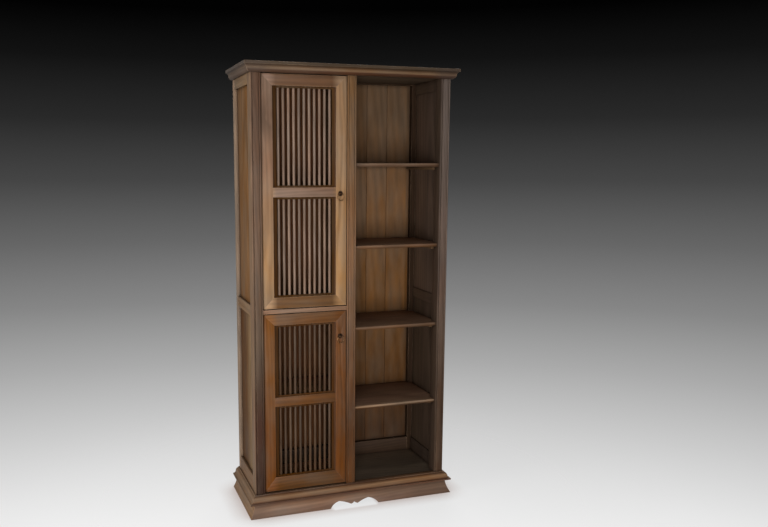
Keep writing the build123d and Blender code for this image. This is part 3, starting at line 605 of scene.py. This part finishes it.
# The front edge of each open shelf, from the lowest: its foot with painted shade, its lip
# with a painted highlight, and how far back the highlight goes.
shelf_edges = [("#452b17", "#866c56", 30 * MM), ("#583c27", "#6e5340", 18 * MM),
               ("#583c27", "#6e5340", 18 * MM), ("#5a4130", "#6e5644", 14 * MM)]
for number, (shaded_foot_tone, highlit_lip_tone, highlight_depth) in enumerate(shelf_edges, start=1):
    node = f"right_shelf_{number}"
    foot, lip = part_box(node)[0][2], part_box(node)[1][2]
    tones = [(foot, shaded_foot_tone), (foot + 5 * MM, shaded_foot_tone), (lip - 6 * MM, highlit_lip_tone),
             (lip, highlit_lip_tone)]
    finish = stained_elm(node + "_elm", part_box(node), "x", tones, gloss=0.6, wax=0.08,
                         zones=inside_light_and_shade("#876954", shelf_face, highlight_depth))
    eased(node, "cabinet", finish)


# ---------------------------------------------------------------- back boards
# Eight upright boards of elm nailed side by side to the rails, each of its own colour, and
# never waxed. They are darkest at the foot, redder behind the doors and plain outside.
back_tones = [(0.23, "#4b3525"), (0.62, "#614329"), (1.04, "#715135"),
              (1.42, "#78593f"), (1.80, "#634d3a")]
behind_doors = ("#5d3820", 1.0, [in_left_bay])
back_outside = ("#5f4834", 1.0, [("Y", 0.1940, 0.1945)])
board_joint, board_pitch = -16 * MM, 105 * MM
back_finish = stained_elm("back_boards_elm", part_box("back_boards"), "z", back_tones,
                          figure=0.17, ring_gap=30 * MM, clouding=0.8, wax=0.08, gloss=0.6,
                          strips=(board_joint, board_pitch, 0.12),
                          zones=[behind_doors, back_outside], rubbed=None)
eased("back_boards", "cabinet", back_finish)


# ---------------------------------------------------------------- the doors
# Two elm frames with mitred corners and a middle rail, filled with two rows of round rods,
# and turning on wooden pins. The upper one has been handled paler, the lower one is redder.
doors = {
    "upper_door": {
        "left_stile": ("z", [(1.17, "#a4805e"), (1.55, "#92745f"), (1.80, "#846754")]),
        "right_stile": ("z", [(1.18, "#9a734c"), (1.70, "#8c7056")]),
        "top_rail": ("x", "#5f4532"), "middle_rail": ("x", "#876855"),
        "bottom_rail": ("x", "#644529"), "spindles": ("z", "#7d6758"),
    },
    "lower_door": {
        "left_stile": ("z", [(0.36, "#6d401d"), (0.72, "#784a22")]),
        "right_stile": ("z", [(0.35, "#5e381b"), (0.65, "#633915")]),
        "top_rail": ("x", "#67462c"), "middle_rail": ("x", "#614026"),
        "bottom_rail": ("x", "#57371a"), "spindles": ("z", "#4c392a"),
    },
}
spindle_pitch, outer_gap = 23.2 * MM, 5.6 * MM
left_end, right_end = ("X", -0.352, -0.385), ("X", -0.100, -0.066)
# Edges worn pale with a painted highlight along them, narrow on stiles and rods, wider on rails.
light_rub_and_highlight, strong_rub_and_highlight = (3 * MM, 0.1, 0.75), (4.5 * MM, 0.35, 0.85)
for door, parts in doors.items():
    upper = door == "upper_door"
    for part, (grain, tones) in parts.items():
        node = door + "_" + part
        rods, rail = part == "spindles", part.endswith("rail")
        # Dirt and wax hide the mitres: a rail takes on the tone of the stile it meets.
        stop = -1 if part == "top_rail" else 0
        ends = [(parts["left_stile"][1][stop][1], 1.0, [left_end]),
                (parts["right_stile"][1][stop][1], 1.0, [right_end])]
        finish = stained_elm(
            node + "_elm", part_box(node), grain, tones, zones=ends if rail else (),
            strips=(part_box(node)[0][0] - outer_gap, spindle_pitch, 0.35) if rods else None,
            grey_at=(1.77, 0.16, 0.75) if upper and part == "left_stile" else None,
            rubbed="#a58a70" if upper else "#80624a",
            rub=strong_rub_and_highlight if rail else light_rub_and_highlight)
        eased(node, door, finish, 0.5 * MM if rods else 0.35 * MM)
    node = door + "_pivots"
    pin_finish = stained_elm(node + "_elm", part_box(node), "z", "#4a3526")
    eased(node, door, pin_finish, 0.4 * MM)


# ---------------------------------------------------------------- the fillets
# A thin strip of elm mitred round the inside of each opening and glued to the frame, a
# little behind its face. It is narrower above and below, where the rods' ends go into it.
fillet_high, fillet_wide, fillet_ease = 9 * MM, 17 * MM, 0.8 * MM
fillet_front, fillet_back = 3.2 * MM, 3.0 * MM
fillet_tones = {
    "upper_door": [(1.0, "#452c14"), (1.4, "#48311c"), (1.9, "#4c3623")],
    "lower_door": [(0.17, "#40250d"), (0.87, "#4c311c")],
}
# It is dark along the left stile with grime and painted shade from the frame, and has
# painted light against the right one.
dirt_and_shade_left = ("#3c2208", 0.8, [("X", -0.345, -0.352)])
lit_right = ("#624536", 0.8, [("X", -0.092, -0.085)])
for door, tones in fillet_tones.items():
    left_stile, right_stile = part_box(door + "_left_stile"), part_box(door + "_right_stile")
    middle_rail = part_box(door + "_middle_rail")
    front = left_stile[0][1] + fillet_front
    thick = left_stile[1][1] - fillet_back - front
    left, right = left_stile[1][0], right_stile[0][0]
    openings = {"lower": (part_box(door + "_bottom_rail")[1][2], middle_rail[0][2]),
                "upper": (middle_rail[1][2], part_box(door + "_top_rail")[0][2])}
    for opening, (foot, head) in openings.items():
        bpy.ops.object.select_all(action="DESELECT")
        bpy.ops.mesh.primitive_plane_add(
            size=1.0, location=((left + right) / 2, front, (foot + head) / 2),
            rotation=(radians(90), 0, 0))
        fillet = bpy.context.object
        fillet.name = f"{door}.{opening}_fillet"
        fillet.scale = (right - left, head - foot, 1.0)
        bpy.ops.object.transform_apply(location=True, rotation=True, scale=True)
        bpy.ops.object.mode_set(mode="EDIT")
        bpy.ops.mesh.select_all(action="SELECT")
        bpy.ops.mesh.inset(thickness=fillet_high)
        narrower = (right - left - 2 * fillet_wide) / (right - left - 2 * fillet_high)
        bpy.ops.transform.resize(value=(narrower, 1.0, 1.0))
        bpy.ops.mesh.delete(type="ONLY_FACE")
        bpy.ops.mesh.select_all(action="SELECT")
        bpy.ops.mesh.extrude_region_move(TRANSFORM_OT_translate={"value": (0, thick, 0)})
        bpy.ops.mesh.select_all(action="SELECT")
        bpy.ops.mesh.normals_make_consistent(inside=False)
        bpy.ops.object.mode_set(mode="OBJECT")
        ease_edges(fillet, fillet_ease)
        corners = [Vector(c) for c in fillet.bound_box]
        fillet.data.materials.append(stained_elm(
            fillet.name + "_elm", (corners[0], corners[6]), "z", tones,
            zones=[dirt_and_shade_left, lit_right], wax=0.05, patina_amount=0.0, rubbed=None))
        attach(fillet, door)


# ---------------------------------------------------------------- the pulls
# Each is a cast bronze rose with an eye whose shank goes through the stile, and a ring of
# round wire that hangs in the eye. All of it has gone brown, and the ring is rubbed bright,
# so the eye sees near-black spots between dull gold ones. Each bronze has its dark and its
# light tone and its roughness.
bronzes = {"browned_bronze": ("#1c120c", "#4a3220", 0.5),
           "rubbed_bronze": ("#4a3422", "#94704a", 0.4)}
finishes = {}
for metal_name, (dark, light, roughness) in bronzes.items():
    bronze = bpy.data.materials.new(metal_name)
    bronze.use_nodes = True
    tree = bronze.node_tree
    tree.nodes.clear()
    place = add_node(tree, "ShaderNodeTexCoord")
    tarnish = add_node(tree, "ShaderNodeTexNoise", inputs={
        "Vector": place.outputs["Object"], "Scale": 1 / (5 * MM), "Detail": 4.0})
    colour = add_node(tree, "ShaderNodeValToRGB", inputs={"Fac": tarnish.outputs["Fac"]},
                      stops=[(0.35, dark), (0.65, light)])
    pitted = add_node(tree, "ShaderNodeBump", inputs={
        "Strength": 0.3, "Distance": 0.2 * MM, "Height": tarnish.outputs["Fac"]})
    metal = add_node(tree, "ShaderNodeBsdfPrincipled", inputs={
        "Base Color": colour.outputs["Color"], "Metallic": 0.85, "Roughness": roughness,
        "Normal": pitted.outputs["Normal"]})
    add_node(tree, "ShaderNodeOutputMaterial", inputs={"Surface": metal.outputs["BSDF"]})
    finishes[metal_name] = bronze

stile_low, stile_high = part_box("upper_door_right_stile")
door_face, door_back = stile_low[1], stile_high[1]
ring_low, ring_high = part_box("upper_ring")
ring_wire = 1.5 * MM
ring_mean = (ring_high[0] - ring_low[0]) / 2 - ring_wire
pull_x, eye_y = (ring_high[0] + ring_low[0]) / 2, (ring_high[1] + ring_low[1]) / 2
eye_z = ring_high[2] - ring_wire
eye_mean, eye_wire, eye_broad = 3.65 * MM, 1.35 * MM, 1.7

# The rose: a disc raised in steps, each an inset of the one before and a rise, in mm.
rose_radius, rose_edge = 11 * MM, 0.7 * MM
rose_steps = ((0.5, 0.5), (1.4, 0.0), (0.5, -0.5), (1.0, 0.0), (0.6, 1.2), (1.2, 1.6),
              (1.6, 1.1), (1.8, 0.4))
bpy.ops.object.select_all(action="DESELECT")
bpy.ops.mesh.primitive_circle_add(
    vertices=40, radius=rose_radius, fill_type="NGON", location=(pull_x, door_face, eye_z),
    rotation=(radians(90), 0, 0))
rose = bpy.context.object
bpy.ops.object.transform_apply(location=True, rotation=True, scale=True)
bpy.ops.object.mode_set(mode="EDIT")
bpy.ops.mesh.select_all(action="SELECT")
bpy.ops.mesh.extrude_region_move(TRANSFORM_OT_translate={"value": (0, -rose_edge, 0)})
for inset, rise in rose_steps:
    bpy.ops.mesh.inset(thickness=inset * MM, depth=rise * MM)
bpy.ops.mesh.select_all(action="SELECT")
bpy.ops.mesh.normals_make_consistent(inside=False)
bpy.ops.object.mode_set(mode="OBJECT")
bpy.ops.object.shade_smooth_by_angle(angle=radians(50.0))

# The eye, a flat wire bent round, and its shank, from under the rose to the stile's back.
shank_radius, shank_ease, shank_sunk = 2.5 * MM, 0.5 * MM, 0.2 * MM
bpy.ops.object.select_all(action="DESELECT")
bpy.ops.mesh.primitive_torus_add(
    location=(pull_x, eye_y, eye_z), rotation=(0, radians(90), 0), major_segments=28,
    minor_segments=12, major_radius=eye_mean, minor_radius=eye_wire)
eye = bpy.context.object
eye.scale = (1.0, 1.0, eye_broad)
bpy.ops.object.transform_apply(location=True, rotation=True, scale=True)
bpy.ops.object.shade_smooth()
bpy.ops.object.select_all(action="DESELECT")
bpy.ops.mesh.primitive_cylinder_add(
    vertices=20, radius=shank_radius, depth=door_back - door_face - shank_sunk,
    location=(pull_x, (door_back + door_face + shank_sunk) / 2, eye_z),
    rotation=(radians(90), 0, 0))
shank = bpy.context.object
bpy.ops.object.transform_apply(location=True, rotation=True, scale=True)
bpy.ops.object.mode_set(mode="EDIT")
bpy.ops.mesh.select_all(action="SELECT")
bpy.ops.mesh.bevel(offset=shank_ease, segments=2)
bpy.ops.object.mode_set(mode="OBJECT")
bpy.ops.object.shade_smooth_by_angle(angle=radians(40.0))
bpy.ops.object.select_all(action="DESELECT")
for metal_part in (rose, eye, shank):
    metal_part.select_set(True)
bpy.context.view_layer.objects.active = rose
bpy.ops.object.join()
rose.data.materials.clear()
rose.data.materials.append(finishes["browned_bronze"])

# The ring, and then both pulls, each a copy of these pieces at its own height.
bpy.ops.object.select_all(action="DESELECT")
bpy.ops.mesh.primitive_torus_add(
    location=(pull_x, eye_y, eye_z - ring_mean), rotation=(radians(90), 0, 0), major_segments=56,
    minor_segments=12, major_radius=ring_mean, minor_radius=ring_wire)
ring = bpy.context.object
bpy.ops.object.transform_apply(location=True, rotation=True, scale=True)
bpy.ops.object.shade_smooth()
ring.data.materials.append(finishes["rubbed_bronze"])

for side in ("upper", "lower"):
    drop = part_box(side + "_ring")[1][2] - ring_high[2]
    for pattern, node, body in ((rose, side + "_pull_eye", side + "_door"),
                                (ring, side + "_ring", side + "_ring")):
        piece = bpy.data.objects.new(node + ".cast", pattern.data.copy())
        for vertex in piece.data.vertices:
            vertex.co.z += drop
        bpy.context.collection.objects.link(piece)
        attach(piece, body)
        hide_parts(node)
bpy.data.objects.remove(rose)
bpy.data.objects.remove(ring)
